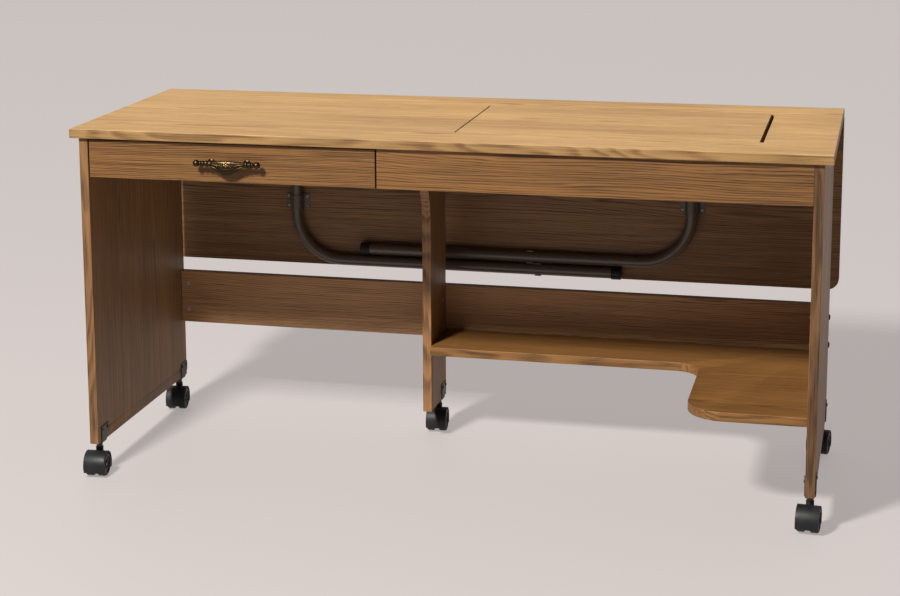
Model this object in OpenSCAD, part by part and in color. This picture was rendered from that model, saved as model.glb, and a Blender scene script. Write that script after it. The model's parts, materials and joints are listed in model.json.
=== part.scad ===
// Sewing table with a machine cut-out, one drawer, a knee shelf, a rear drop leaf and five casters.
// Millimetres. X runs along the width, Y from front to back, Z up. The origin is on the floor, in the
// middle of the overall width and depth.

/* [Table top] */
// Width of the table top
top_w = 1540; // [1500:10:1600]
// Depth of the table top
top_d = 588; // [580:1:640]
// Height of the work surface
top_h = 749; // [730:1:780]
// Thickness of the structural boards
board = 19; // [18:0.5:20]
// How far the top overhangs the side panels
side_overhang = 17; // [17:1:30]
// How far the top overhangs the front of the panels
front_overhang = 10; // [4:1:20]

/* [Machine cut-out] */
// Left end of the cut-out, from the middle of the table
cut_x = 15; // [0:1:30]
// Width of the cut-out
cut_w = 615; // [600:1:620]
// Front edge of the cut-out, from the front of the top
cut_y = 120; // [110:1:125]
// Depth of the cut-out
cut_d = 358; // [350:1:370]
// Finger gap at the right end of the insert
finger_gap = 7; // [4:1:10]
// Height from the platform to the work surface
platform_drop = 109; // [100:1:112]

/* [Panels and shelf] */
// Depth of the side panels
panel_d = 540; // [530:1:545]
// Height of the panels' lower edges above the floor
panel_z = 71; // [69:1:76]
// Left face of the centre panel, from the middle of the table
centre_x = -117; // [-130:1:-100]
// Front edge of the centre panel's leg, from the front of the top
centre_y = 386; // [380:1:400]
// Radius where the centre panel flares forward
flare_r = 150; // [120:5:170]
// Height of the aprons' lower edge
apron_z = 648; // [640:1:655]
// Height of the rear rail's lower edge and of the knee shelf's underside
rail_z = 205; // [190:1:220]
// Height of the rear rail
rail_h = 122; // [110:1:130]
// Front edge of the shallow part of the knee shelf, from the front of the top
shelf_shallow_y = 370; // [340:1:375]
// Front edge of the deep part of the knee shelf, from the front of the top
shelf_deep_y = 38; // [30:1:60]
// Left edge of the deep part of the knee shelf, from the middle of the table
shelf_turn_x = 495; // [440:5:520]

/* [Drawer] */
// Travel of the drawer
drawer_travel = 300; // [250:10:320]
// Depth of the drawer box behind its front
drawer_depth = 400; // [380:10:420]
// Height of the drawer sides
drawer_side_h = 45; // [40:1:46]
// Thickness of the drawer sides
drawer_side_t = 12; // [10:0.5:13]
// Length of the pull from end to end
pull_len = 143; // [120:1:160]
// How far the pull stands out from the drawer front
pull_out = 26; // [24:1:30]

/* [Rear leaf and legs] */
// Length of the leaf from its hinge edge to its free edge
leaf_len = 380; // [370:1:390]
// Radius of the leaf's free corners
leaf_corner_r = 25; // [15:1:35]
// Outside diameter of the leg tube
tube_d = 25.4; // [24:0.2:26]
// Radius of the leg's bend, on the tube's centre line
bend_r = 110; // [90:1:120]
// Length of a leg from its pivot to its foot
leg_len = 757; // [720:1:760]
// Pivot of the left leg, to the left of the middle
left_pivot_x = 462; // [450:1:465]
// Pivot of the right leg, to the right of the middle
right_pivot_x = 449; // [440:1:455]
// Height of the left leg's long run with the leaf down
left_run_z = 362.5; // [362.5:0.5:364]
// Height of the right leg's long run with the leaf down
right_run_z = 391; // [391:0.5:394]

/* [Casters] */
// Wheel diameter
wheel_d = 50; // [48:1:50]
// Width over both wheels
caster_w = 45; // [43:1:48]
// Distance from the stem's axis to the axle
caster_trail = 18; // [17:0.5:20]

/* [Hidden] */
$fn = 64;
eps = 0.1;
gap = 0.3;

// Outer box, front to back
knuckle_r = 3.5;
hinge_gap = 0.5;
front_reach = pull_out - front_overhang;
leaf_face = top_d + hinge_gap + knuckle_r;
overall_d = front_reach + leaf_face + board;
y0 = front_reach - overall_d / 2;

// Boards
top_z = top_h - board;
half_w = top_w / 2;
panel_out = half_w - side_overhang;
panel_in = panel_out - board;
panel_y = y0 + front_overhang;
back_y = panel_y + panel_d;
rail_y = back_y - board;
apron_back = panel_y + board;
centre_r = centre_x + board;
shelf_fillet = 55;
shelf_corner = 75;

// Machine cut-out
opening_y = y0 + cut_y;
insert_gap = 3;
ledge_w = 25;
ledge_bite = 12;
ledge_bite_end = 20;
ledge_z = top_z - board;
platform_t = 12;
platform_z = top_h - platform_drop - platform_t;
strap_w = 25;
strap_t = 2;
strap_foot = 12;
strap_top = 30;
platform_side = 15;
platform_end = 10.5;
platform_x0 = cut_x + platform_side;
platform_x1 = cut_x + cut_w - platform_side;
platform_y0 = opening_y + platform_end;
platform_y1 = opening_y + cut_d - platform_end;
strap_inset = 70;
strap_xs = [cut_x + strap_inset, cut_x + cut_w - strap_inset];
strap_screw_out = 18;
strap_screw_in = 6;
ledge_screw_inset = 40;
ledge_screw_out = 8;
ledge_sink = 10;
ledge_sink_r = 4;
insert_rub = 1.2;

// Drawer
runner_gap = 12.7;
front_gap = 3;
drawer_x0 = -panel_in + runner_gap;
drawer_x1 = centre_x - runner_gap;
drawer_y1 = apron_back + drawer_depth;
drawer_lift = 9;
drawer_z = apron_z + drawer_lift;
drawer_bottom_t = 5;
drawer_bottom_lift = 5;
front_x0 = -panel_in + front_gap;
front_x1 = centre_x - 5;
false_x0 = centre_x - 2;
pull_x = (front_x0 + front_x1) / 2;
pull_rise = 2;
pull_z = (apron_z + top_z - front_gap) / 2 + pull_rise;
pull_post_gap = 76;
pull_post_r = 5;
pull_r = 7;
pull_screw_len = board + 5;
drop_w = 80;
drop_h = 23;
drop_t = 7;

// Drawer runners, measured from the cabinet member's lower edge
runner_z = drawer_z - 2;
runner_t = 1.2;
runner_h = 30;
runner_flange = 9;
roller_r = 8;
roller_w = 6;
roller_bore = 2.05;
roller_pin = 2;
cab_roller_y = apron_back + 16;
cab_roller_z = runner_z + 9.8;
box_roller_y = drawer_y1 - 12;
box_roller_z = runner_z + runner_t + 0.2 + roller_r;
flange_z = runner_z + 18;
cab_runner_y = apron_back + 5;
runner_screw_ys = [40, 190, 340];
runner_screw_z = runner_z + 25;

// Leaf, hinges and legs
hinge_y = y0 + top_d + hinge_gap;
hinge_z = top_z - knuckle_r;
leaf_y = y0 + leaf_face;
leaf_top = hinge_z - hinge_gap;
leaf_bottom = leaf_top - leaf_len;
hinge_xs = [-620, 0, 620];
hinge_len = 75;
hinge_plate_w = 30;
hinge_plate_t = 1.5;
hinge_pin_r = 1.5;
hinge_pin_play = 0.05;
knuckle_play = 0.5;
knuckle_n = 5;
hinge_screw_pitch = 25;
hinge_screw_in = 20;
knuckle_pitch = hinge_len / knuckle_n;
tube_r = tube_d / 2;
tube_wall = 1.2;
tube_off = 15.2;
leg_y = leaf_y - tube_off;
leg_stub = 69;
foot_set = 5;
// Each leg: pivot's X and the height of its long run
LEGS = [[-left_pivot_x, left_run_z], [right_pivot_x, right_run_z]];
saddle_w = 56;
saddle_h = 36;
saddle_t = 2;
saddle_rise = 4;
saddle_screw_x = 21.5;
saddle_screw_z = 11;
cap_r = 14.5;
cap_len = 22;
cap_edge_r = 3;
clip_x = 97;
clip_step = 9;
clip_base = 10;
rivet_head_h = 0.6;
clip_r = 13.1;
clip_t = 0.9;
clip_w = 14;
clip_arm = 6;
clip_reach = 30;
clip_seat = 1.2;

wheel_r = wheel_d / 2;
side_mid = panel_out - board / 2;
stem_inset = 28;
front_stem_y = panel_y + stem_inset;
back_stem_y = back_y - stem_inset;
centre_stem_y = back_stem_y - 25;
// Each caster: stem's X and Y, and its turn about the stem
CASTERS = [
  [-side_mid, front_stem_y, 4],
  [-side_mid, back_stem_y, 7],
  [side_mid, front_stem_y, -5],
  [side_mid, back_stem_y, -8],
  [centre_x + board / 2, centre_stem_y, 4]
];
axle_r = 3;
axle_bore = 3.05;
stem_r = 4;
stem_bore = 4.05;
stem_low = 30;
stem_in_panel = 30;
web_half = 5.8;
wheel_in = 6.3;
hood_r = wheel_r + 3.4;
hood_in = wheel_r + 0.9;
hood_top = panel_z - 13;
hood_low_a = -30;
hood_high_a = 210;
hood_step_a = 15;
web_r = 20;
web_block = 16;
socket_out_r = 8;
socket_len = 14;
collar_r = 6.5;
collar_gap = 0.5;
axle_inset = 2;
wheel_edge = 5;
dish_r = 8;
dish_w = 9;
dish_h = 2;
hub_sink = 1.5;
hub_r = 7;
bracket_t = 2;
bracket_in_h = 34;
bracket_out_h = 43;
bracket_back = 27;
bracket_shoulder = 14;
bracket_neck = 22;
bracket_screw_ys = [-4, 20];
bracket_screw_in_z = 26;
bracket_screw_out_z = 34;

// Fasteners
screw_r = 1.6;
screw_len = 13;
screw_head_r = 3.6;
screw_head_h = 1.8;
screw_edge_r = 0.9;
screw_drive = 0.8;
short_screw = 8;
bolt_r = 3;
bolt_len = 54;
bolt_head_r = 6.5;
bolt_head_h = 3;
bolt_edge_r = 1.6;
socket_r = 2.6;
socket_h = 2;
nut_r = 5;
nut_len = 14;
nut_inset = 36;
nut_inset_centre = 46;
nut_low = 0.2;
nut_slot = 1.2;
shelf_screw_head_r = 4.5;
shelf_screw_head_h = 3;
shelf_screw_r = 2.5;
shelf_screw_len = 50;
shelf_socket_r = 2;
shelf_screws_right = [100, 420];
shelf_screws_centre = [400, 455];
rail_bolt_zs = [rail_z + 30, rail_z + 92];
corner_leg = 25;
corner_w = 18;
corner_t = 2;
corner_hole = 15;
corner_front_y = y0 + 105;
corner_back_y = back_y - 60;
corner_apron_z = 690;

oak = "#b98a55";
oak_dark = "#8f6238";
steel = "#a9abad";
dark_steel = "#4a4a4c";
tube_grey = "#77787a";
black = "#2a2a2c";
brass = "#8a7440";

// A block between two opposite corners
module block(a, b) {
  translate(a) cube(b - a);
}

// A rod along X, Y or Z from a point
module rod_x(p, r, len) {
  translate(p) rotate([0, 90, 0]) cylinder(r = r, h = len);
}

module rod_y(p, r, len) {
  translate(p) rotate([-90, 0, 0]) cylinder(r = r, h = len);
}

// ---------- fasteners ----------

// A pan-head screw that points along +Z, with its head's seat at the origin
module screw(len = screw_len) {
  cylinder(r = screw_r, h = len);
  rotate_extrude() {
    difference() {
      translate([0, -screw_head_h]) square([screw_head_r, screw_head_h]);
      translate([screw_head_r, -screw_head_h]) circle(r = screw_edge_r);
      translate([0, -screw_head_h - eps]) square([screw_drive, screw_drive + eps]);
    }
  }
}

// The pilot hole of the same screw, open at its seat
module pilot(len = screw_len) {
  translate([0, 0, -eps]) cylinder(r = screw_r + eps, h = len + 2 * eps);
}

// Corner brackets: place and turn of each inside corner
TOP_CORNERS = [for (y = [corner_front_y, corner_back_y])
  each [[[-panel_in, y, top_z], 0], [[centre_r, y, top_z], 0], [[panel_in, y, top_z], 180]]];
FRONT_CORNERS = [[[centre_r, apron_back, corner_apron_z], [90, 0, 0]],
  [[panel_in, apron_back, corner_apron_z], [-90, 0, 180]]];

module at_corners() {
  for (c = TOP_CORNERS) translate(c[0]) rotate([0, 0, c[1]]) children();
  for (c = FRONT_CORNERS) translate(c[0]) rotate(c[1]) children();
}

module at_corner_screws() {
  at_corners() {
    translate([corner_hole, 0, -corner_t]) children();
    translate([corner_t, 0, -corner_hole]) rotate([0, -90, 0]) children();
  }
}

// Screws through the cabinet runners into the left and centre panels
module at_cabinet_runner_screws() {
  for (y = runner_screw_ys) {
    translate([-panel_in + runner_t, cab_runner_y + y, runner_screw_z]) rotate([0, -90, 0]) children();
    translate([centre_x - runner_t, cab_runner_y + y, runner_screw_z]) rotate([0, 90, 0]) children();
  }
}

// Screws through the drawer runners into the drawer sides
module at_drawer_runner_screws() {
  for (y = runner_screw_ys) {
    translate([drawer_x0 - runner_t, apron_back + y, runner_screw_z]) rotate([0, 90, 0]) children();
    translate([drawer_x1 + runner_t, apron_back + y, runner_screw_z]) rotate([0, -90, 0]) children();
  }
}

module at_hinge_screws() {
  for (x = hinge_xs) for (k = [-1 : 1]) translate([x + k * hinge_screw_pitch, 0, 0]) children();
}

module at_top_hinge_screws() {
  at_hinge_screws() translate([0, hinge_y - hinge_screw_in, top_z - hinge_plate_t]) children();
}

module at_leaf_hinge_screws() {
  at_hinge_screws() translate([0, leaf_y - hinge_plate_t, hinge_z - hinge_screw_in]) rotate([-90, 0, 0]) {
    children();
  }
}

module at_ledge_screws() {
  for (x = [cut_x + ledge_screw_inset, cut_x + cut_w - ledge_screw_inset]) {
    translate([x, opening_y - ledge_screw_out, ledge_z + ledge_sink]) children();
    translate([x, opening_y + cut_d + ledge_screw_out, ledge_z + ledge_sink]) children();
  }
}

// Hanger straps: front ones as drawn, back ones mirrored
module at_straps() {
  for (x = strap_xs) {
    translate([x, platform_y0, 0]) children();
    translate([x, platform_y1, 0]) mirror([0, 1, 0]) children();
  }
}

module at_strap_screws() {
  at_straps() {
    translate([0, -strap_screw_out, ledge_z - strap_t]) children();
    translate([0, strap_screw_in, platform_z - strap_t]) children();
  }
}

module at_frame_screws() {
  at_corner_screws() children();
  at_cabinet_runner_screws() children();
  at_top_hinge_screws() children();
  at_ledge_screws() children();
}

module frame_screws() {
  color(steel) {
    at_frame_screws() screw();
    at_strap_screws() screw(platform_t - 2);
  }
}

// The middle of a saddle, just above its leg's bend
function saddle_z(run_z) = run_z + bend_r + saddle_h / 2 + saddle_rise;

module at_saddle_screws() {
  for (leg = LEGS) for (i = [-1, 1]) for (j = [-1, 1]) {
    z = saddle_z(leg[1]) + j * saddle_screw_z;
    translate([leg[0] + i * saddle_screw_x, leaf_y - saddle_t, z]) rotate([-90, 0, 0]) children();
  }
}

module at_clip_screws() {
  for (z = [left_run_z, right_run_z]) {
    translate([clip_spot(z), leaf_y - clip_seat, z]) rotate([-90, 0, 0]) children();
  }
}

function clip_spot(z) = (z == left_run_z) ? clip_x + clip_step : clip_x - clip_step;

module leaf_screws() {
  color(steel) {
    at_leaf_hinge_screws() screw();
    at_saddle_screws() screw();
    at_clip_screws() clip_rivet(screw_len);
  }
}

// A flat rivet that holds a leg clip, thin enough to clear the tube
module clip_rivet(len) {
  cylinder(r = screw_r, h = len);
  translate([0, 0, -rivet_head_h]) cylinder(r = screw_head_r, h = rivet_head_h);
}

module drawer_screws() {
  color(steel) {
    at_drawer_runner_screws() screw(drawer_side_t - 2);
    at_pull_screws() screw(pull_screw_len);
  }
}

module at_pull_screws() {
  for (s = [-1, 1]) {
    translate([pull_x + s * pull_post_gap / 2, apron_back, pull_z]) rotate([90, 0, 0]) children();
  }
}

// Connector bolts: along X through the side panels, along Y through the rail into the centre panel
module at_rail_bolts() {
  for (z = rail_bolt_zs) {
    translate([-panel_out, rail_y + board / 2, z]) rotate([0, 90, 0]) children();
    translate([panel_out, rail_y + board / 2, z]) rotate([0, -90, 0]) children();
    translate([centre_x + board / 2, back_y, z]) rotate([90, 0, 0]) children();
  }
}

module at_barrel_nuts() {
  for (z = rail_bolt_zs) {
    for (s = [-1, 1]) {
      translate([s * (panel_out - nut_inset), rail_y, z]) rotate([-90, 0, 0]) children();
    }
    translate([centre_r, back_y - nut_inset_centre, z]) rotate([0, -90, 0]) children();
  }
}

// A bolt head with a domed edge and a hex socket, and its shank along +Z
module connector_bolt() {
  difference() {
    rotate_extrude() {
      difference() {
        translate([0, -bolt_head_h]) square([bolt_head_r, bolt_head_h]);
        translate([bolt_head_r, -bolt_head_h]) circle(r = bolt_edge_r);
      }
    }
    translate([0, 0, -bolt_head_h - eps]) cylinder(r = socket_r, h = socket_h, $fn = 6);
  }
  cylinder(r = bolt_r, h = bolt_len);
}

module bolt_bores() {
  at_rail_bolts() translate([0, 0, -eps]) cylinder(r = bolt_r + eps, h = bolt_len + 1);
}

module connector_bolts() {
  color(dark_steel) at_rail_bolts() connector_bolt();
}

module barrel_nuts() {
  color(steel) difference() {
    at_barrel_nuts() difference() {
      translate([0, 0, nut_low]) cylinder(r = nut_r, h = nut_len - nut_low);
      translate([-nut_r, -nut_slot / 2, -eps]) cube([2 * nut_r, nut_slot, nut_slot]);
    }
    bolt_bores();
  }
}

module nut_bores() {
  at_barrel_nuts() translate([0, 0, -eps]) cylinder(r = nut_r + eps, h = nut_len + 2 * eps);
}

// Shelf screws with countersunk heads, through the right and centre panels
module at_shelf_screws() {
  z = rail_z + board / 2;
  for (y = shelf_screws_right) translate([panel_out, panel_y + y, z]) rotate([0, -90, 0]) children();
  for (y = shelf_screws_centre) translate([centre_x, panel_y + y, z]) rotate([0, 90, 0]) children();
}

module shelf_screw(extra) {
  translate([0, 0, -extra]) cylinder(r = shelf_screw_head_r + extra, h = shelf_screw_head_h + extra);
  cylinder(r = shelf_screw_r + extra, h = shelf_screw_len + extra);
}

module shelf_screws() {
  color(dark_steel) at_shelf_screws() difference() {
    shelf_screw(0);
    translate([0, 0, -eps]) cylinder(r = shelf_socket_r, h = socket_h, $fn = 6);
  }
}

// ---------- fixed boards ----------

module board_holes() {
  at_frame_screws() pilot();
  bolt_bores();
  nut_bores();
  at_shelf_screws() shelf_screw(eps);
  at_casters() translate([0, 0, panel_z - eps]) cylinder(r = stem_r + eps, h = stem_in_panel + 1);
  at_bracket_screws() pilot(short_screw);
}

module tabletop() {
  color(oak) difference() {
    block([-half_w, y0, top_z], [half_w, y0 + top_d, top_h]);
    block([cut_x, opening_y, top_z - 1], [cut_x + cut_w, opening_y + cut_d, top_h + 1]);
    at_corner_screws() pilot();
    at_top_hinge_screws() pilot();
    at_ledge_screws() pilot();
  }
}

module side_panel(x) {
  color(oak_dark) difference() {
    block([x, panel_y, panel_z], [x + board, back_y, top_z]);
    board_holes();
  }
}

module left_panel() {
  side_panel(-panel_out);
}

module right_panel() {
  side_panel(panel_in);
}

// The centre panel's outline, seen from the side: a rear leg that flares forward under the aprons
module centre_outline() {
  leg_front = y0 + centre_y;
  difference() {
    translate([apron_back, panel_z]) square([rail_y - apron_back, top_z - panel_z]);
    translate([apron_back - 1, panel_z - 1]) {
      square([leg_front - apron_back + 1, apron_z - flare_r - panel_z + 1]);
      square([leg_front - flare_r - apron_back + 1, apron_z + 2 - panel_z + 1]);
    }
    translate([leg_front - flare_r, apron_z + 2 - flare_r]) circle(r = flare_r, $fn = 128);
  }
}

module center_panel() {
  color(oak_dark) difference() {
    translate([centre_x, 0, 0]) rotate([90, 0, 90]) linear_extrude(board) centre_outline();
    board_holes();
  }
}

module rear_rail() {
  color(oak_dark) difference() {
    block([-panel_in, rail_y, rail_z], [panel_in, back_y, rail_z + rail_h]);
    bolt_bores();
    nut_bores();
  }
}

// The knee shelf's outline: shallow on the left, deep on the right, with an S-curve between them
module shelf_outline() {
  shallow = y0 + shelf_shallow_y;
  deep = y0 + shelf_deep_y;
  difference() {
    translate([centre_r, deep]) square([panel_in - centre_r, rail_y - deep]);
    difference() {
      translate([centre_r - 1, deep - 1]) square([shelf_turn_x - centre_r + 1, shallow - deep + 1]);
      translate([shelf_turn_x - shelf_fillet, shallow - shelf_fillet]) difference() {
        square(shelf_fillet + 1);
        circle(r = shelf_fillet, $fn = 96);
      }
    }
    translate([shelf_turn_x - 1, deep - 1]) difference() {
      square(shelf_corner + 1);
      translate([shelf_corner + 1, shelf_corner + 1]) circle(r = shelf_corner, $fn = 96);
    }
  }
}

module knee_shelf() {
  color(oak) difference() {
    translate([0, 0, rail_z]) linear_extrude(board) shelf_outline();
    at_shelf_screws() shelf_screw(eps);
  }
}

module false_front() {
  color(oak_dark) difference() {
    block([false_x0, panel_y, apron_z], [panel_in, apron_back, top_z]);
    at_corner_screws() pilot();
  }
}

// ---------- machine cut-out ----------

module insert_ledges_long() {
  x0 = cut_x - ledge_w;
  x1 = cut_x + cut_w + ledge_w;
  color(oak_dark) difference() {
    for (y = [opening_y - ledge_w, opening_y + cut_d - ledge_bite]) {
      block([x0, y, ledge_z], [x1, y + ledge_w + ledge_bite, top_z]);
    }
    at_ledge_screws() translate([0, 0, -ledge_sink - 1]) cylinder(r = ledge_sink_r, h = ledge_sink + 1);
    at_ledge_screws() pilot();
    at_strap_screws() pilot(platform_t - 2);
  }
}

module insert_ledges_short() {
  y_a = opening_y + ledge_bite;
  y_b = opening_y + cut_d - ledge_bite;
  color(oak_dark) for (x = [cut_x - ledge_w, cut_x + cut_w - ledge_bite_end]) {
    block([x, y_a, ledge_z], [x + ledge_w + ledge_bite_end, y_b, top_z]);
  }
}

module machine_insert() {
  color(oak) block([cut_x + insert_gap, opening_y + insert_rub, top_z + gap],
    [cut_x + cut_w - finger_gap, opening_y + cut_d - insert_rub, top_h]);
}

module machine_platform() {
  color(oak_dark) difference() {
    block([platform_x0, platform_y0, platform_z], [platform_x1, platform_y1, platform_z + platform_t]);
    at_strap_screws() pilot(platform_t - 2);
  }
}

// A steel strap bent outward at the top and inward under the platform
module strap() {
  translate([-strap_w / 2, 0, 0]) {
    block([0, -strap_t, platform_z - strap_t], [strap_w, 0, ledge_z]);
    block([0, -strap_top, ledge_z - strap_t], [strap_w, 0, ledge_z]);
    block([0, -strap_t, platform_z - strap_t], [strap_w, strap_foot, platform_z]);
  }
}

module platform_hangers() {
  color(steel) difference() {
    at_straps() strap();
    at_strap_screws() pilot(platform_t - 2);
  }
}

// ---------- brackets ----------

module corner_bracket() {
  rotate([90, 0, 0]) translate([0, 0, -corner_w / 2]) linear_extrude(corner_w) {
    translate([0, -corner_t]) square([corner_leg, corner_t]);
    translate([0, -corner_leg]) square([corner_t, corner_leg]);
  }
}

module corner_brackets() {
  color(steel) difference() {
    at_corners() corner_bracket();
    at_corner_screws() pilot();
  }
}

// ---------- drawer ----------

module drawer_front() {
  color(oak) difference() {
    block([front_x0, panel_y, apron_z], [front_x1, apron_back, top_z - front_gap]);
    at_pull_screws() pilot(pull_screw_len);
  }
}

module drawer_side(x) {
  color(oak) difference() {
    block([x, apron_back, drawer_z], [x + drawer_side_t, drawer_y1, drawer_z + drawer_side_h]);
    at_drawer_runner_screws() pilot(drawer_side_t - 2);
  }
}

module drawer_left_side() {
  drawer_side(drawer_x0);
}

module drawer_right_side() {
  drawer_side(drawer_x1 - drawer_side_t);
}

module drawer_back() {
  color(oak) block([drawer_x0 + drawer_side_t, drawer_y1 - drawer_side_t, drawer_z],
    [drawer_x1 - drawer_side_t, drawer_y1, drawer_z + drawer_side_h]);
}

module drawer_bottom() {
  z = drawer_z + drawer_bottom_lift;
  color(oak) block([drawer_x0 + drawer_side_t, apron_back, z],
    [drawer_x1 - drawer_side_t, drawer_y1 - drawer_side_t, z + drawer_bottom_t]);
}

// The turned bar's section: [distance from the middle, radius] of each bead
PULL_BEADS = [[0, 7], [10, 6.8], [20, 6.2], [30, 5.4], [38, 6.6], [46, 5], [52.5, 5.8]];

module pull_outline() {
  half = pull_len / 2;
  intersection() {
    union() {
      translate([0, -half]) square([3.4, pull_len]);
      for (s = [-1, 1]) {
        for (b = PULL_BEADS) translate([0, s * b[0]]) circle(r = b[1]);
        translate([0, s * (half - pull_r)]) circle(r = pull_r);
      }
    }
    translate([0, -half]) square([2 * pull_r, pull_len]);
  }
}

module drawer_pull() {
  bar_y = panel_y - pull_out + pull_r;
  color(brass) difference() {
    union() {
      translate([pull_x, bar_y, pull_z]) rotate([0, 90, 0]) rotate_extrude() pull_outline();
      for (s = [-1, 1]) {
        rod_y([pull_x + s * pull_post_gap / 2, bar_y, pull_z], pull_post_r, panel_y - bar_y);
      }
      translate([pull_x, bar_y + drop_t / 2, pull_z]) rotate([90, 0, 0]) linear_extrude(drop_t) drop_outline();
    }
    at_pull_screws() pilot(pull_screw_len);
  }
}

// The full-bellied drop below the bar: a circle's segment with the bar as its chord
module drop_outline() {
  r = (drop_w * drop_w / 4 + drop_h * drop_h) / (2 * drop_h);
  intersection() {
    translate([0, r - drop_h]) circle(r = r, $fn = 128);
    translate([-drop_w / 2, -drop_h]) square([drop_w, drop_h]);
  }
}

// Cabinet runner: a channel on the panel with a roller pin near the front; side is 1 left, -1 right
module cabinet_runner(x, side) {
  y = cab_runner_y;
  color(steel) difference() {
    translate([x, 0, 0]) handed(side) {
      block([0, y, runner_z], [runner_t, drawer_y1, runner_z + runner_h]);
      block([0, y, runner_z], [runner_flange, drawer_y1, runner_z + runner_t]);
      rod_x([runner_t / 2, cab_roller_y, cab_roller_z], roller_pin, runner_flange);
    }
    at_cabinet_runner_screws() pilot();
  }
}

// As drawn for side 1, mirrored for side -1
module handed(side) {
  if (side > 0) {
    children();
  } else {
    mirror([1, 0, 0]) children();
  }
}

module cabinet_runner_left() {
  cabinet_runner(-panel_in, 1);
}

module cabinet_runner_right() {
  cabinet_runner(centre_x, -1);
}

// Drawer runner: an angle on the drawer side, its flange over the front roller, with a pin at the rear
module drawer_runner(x, side) {
  color(steel) difference() {
    translate([x, 0, 0]) handed(side) {
      block([-runner_t, apron_back, runner_z + 4], [0, drawer_y1, runner_z + runner_h + 4]);
      block([-runner_flange, apron_back, flange_z], [0, drawer_y1, flange_z + runner_t]);
      rod_x([-runner_flange - 1, box_roller_y, box_roller_z], roller_pin, runner_flange + 1);
    }
    at_drawer_runner_screws() pilot(drawer_side_t - 2);
  }
}

module drawer_runner_left() {
  drawer_runner(drawer_x0, 1);
}

module drawer_runner_right() {
  drawer_runner(drawer_x1, -1);
}

module roller(x, y, z) {
  translate([x, y, z]) rotate([0, 90, 0]) difference() {
    cylinder(r = roller_r, h = roller_w);
    translate([0, 0, -1]) cylinder(r = roller_bore, h = roller_w + 2);
  }
}

module cabinet_rollers() {
  color("white") {
    roller(-panel_in + 2, cab_roller_y, cab_roller_z);
    roller(centre_x - 2 - roller_w, cab_roller_y, cab_roller_z);
  }
}

module drawer_rollers() {
  color("white") {
    roller(drawer_x0 - 10, box_roller_y, box_roller_z);
    roller(drawer_x1 + 10 - roller_w, box_roller_y, box_roller_z);
  }
}

// ---------- rear leaf ----------

// The knuckles of one hinge, even ones on the top, odd ones on the leaf
module knuckles(x, odd) {
  for (i = [odd : 2 : knuckle_n - 1]) {
    rod_x([x - hinge_len / 2 + i * knuckle_pitch + gap / 2, hinge_y, hinge_z], knuckle_r, knuckle_pitch - gap);
  }
}

// Room for the other plate's knuckles
module knuckle_room(x, odd) {
  for (i = [odd : 2 : knuckle_n - 1]) {
    rod_x([x - hinge_len / 2 + i * knuckle_pitch - gap / 2, hinge_y, hinge_z], knuckle_r + knuckle_play,
      knuckle_pitch + gap);
  }
}

module pin_bores() {
  for (x = hinge_xs) rod_x([x - hinge_len, hinge_y, hinge_z], hinge_pin_r + hinge_pin_play, 2 * hinge_len);
}

module hinge_leaves_top() {
  color(steel) difference() {
    for (x = hinge_xs) {
      difference() {
        block([x - hinge_len / 2, hinge_y - hinge_plate_w, top_z - hinge_plate_t],
          [x + hinge_len / 2, hinge_y, top_z]);
        knuckle_room(x, 1);
      }
      knuckles(x, 0);
    }
    pin_bores();
    at_top_hinge_screws() pilot();
  }
}

module hinge_leaves_rear() {
  color(steel) difference() {
    for (x = hinge_xs) {
      difference() {
        block([x - hinge_len / 2, leaf_y - hinge_plate_t, hinge_z - hinge_plate_w],
          [x + hinge_len / 2, leaf_y, hinge_z]);
        knuckle_room(x, 0);
      }
      knuckles(x, 1);
    }
    pin_bores();
    at_leaf_hinge_screws() pilot();
  }
}

module hinge_pins() {
  color(steel) for (x = hinge_xs) {
    rod_x([x - hinge_len / 2 - 1, hinge_y, hinge_z], hinge_pin_r, hinge_len + 2);
  }
}

// The leaf hangs from its hinges; its two lower corners are round
module rear_leaf() {
  color(oak_dark) difference() {
    translate([0, leaf_y + board, 0]) rotate([90, 0, 0]) linear_extrude(board) leaf_outline();
    at_leaf_hinge_screws() pilot();
    at_saddle_screws() pilot();
    at_clip_screws() pilot();
  }
}

module leaf_outline() {
  r = leaf_corner_r;
  translate([-half_w, leaf_bottom + r]) square([top_w, leaf_len - r]);
  translate([-half_w + r, leaf_bottom]) square([top_w - 2 * r, r + 1]);
  for (s = [-1, 1]) translate([s * (half_w - r), leaf_bottom + r]) circle(r = r);
}

// A plate with a sleeve that the leg turns in
module saddle(leg) {
  sleeve_r = tube_r + gap + saddle_t;
  translate([leg[0], leaf_y, saddle_z(leg[1]) - saddle_h / 2]) linear_extrude(saddle_h) difference() {
    union() {
      translate([-saddle_w / 2, -saddle_t]) square([saddle_w, saddle_t]);
      translate([0, -tube_off]) circle(r = sleeve_r);
      translate([-sleeve_r, -tube_off]) square([2 * sleeve_r, tube_off]);
    }
    translate([0, -tube_off]) circle(r = tube_r + gap);
  }
}

module leg_saddles() {
  color(dark_steel) difference() {
    for (leg = LEGS) saddle(leg);
    at_saddle_screws() pilot();
  }
}

// A spring clip open towards the front, so the tube can leave it
module clip(x, z) {
  translate([x - clip_w / 2, leaf_y - tube_off, z]) rotate([90, 0, 90]) linear_extrude(clip_w) {
    difference() {
      union() {
        circle(r = clip_r + clip_t);
        translate([-clip_arm, -clip_r - clip_t]) square([clip_arm, 2 * (clip_r + clip_t)]);
      }
      circle(r = clip_r);
      translate([-clip_reach, -clip_r]) square([clip_reach, 2 * clip_r]);
      translate([-2 * clip_r - clip_arm, -2 * clip_r]) square([2 * clip_r, 4 * clip_r]);
    }
    translate([clip_r + clip_t / 2, -clip_base / 2]) square([tube_off - clip_r - clip_t / 2, clip_base]);
  }
}

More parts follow.
